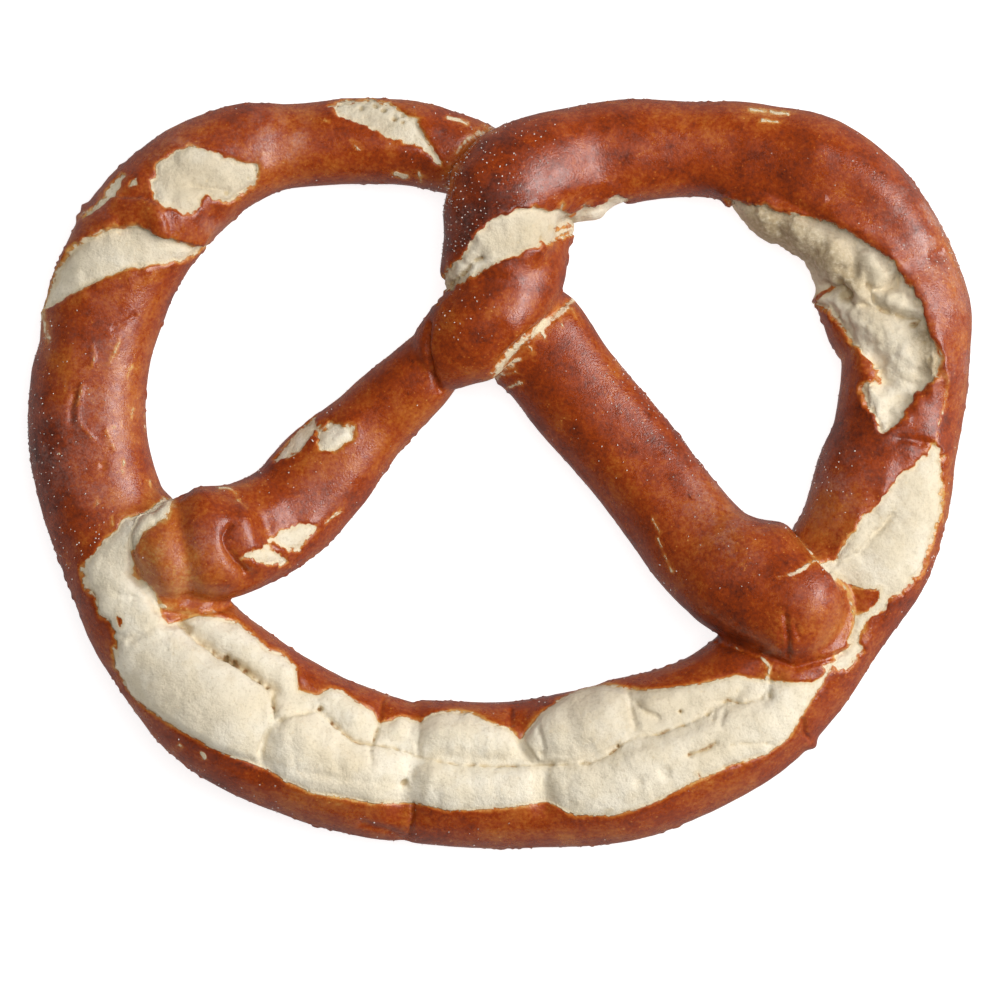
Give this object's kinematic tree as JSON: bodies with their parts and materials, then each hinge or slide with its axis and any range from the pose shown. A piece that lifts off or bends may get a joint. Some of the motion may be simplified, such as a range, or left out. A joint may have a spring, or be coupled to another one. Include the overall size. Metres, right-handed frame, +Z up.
{
  "type": "soft pretzel",
  "caption": "Baked soft pretzel: a thick dough rope looped, twisted at the top and folded back onto its belly, with a browned crust torn open over pale crumb.",
  "frame": {"origin": "middle of the underside that the pretzel lies on", "axes": "+X across the pretzel from its left loop to its right loop, +Y from the belly to the two upper loops, +Z up out of the shown side"},
  "size_m": [0.1798, 0.1428, 0.0287],
  "materials": {
    "crust": "satin browned crust, torn open over matt cream crumb"
  },
  "bodies": {
    "root": {"pretzel": "crust"}
  },
  "joints": []
}
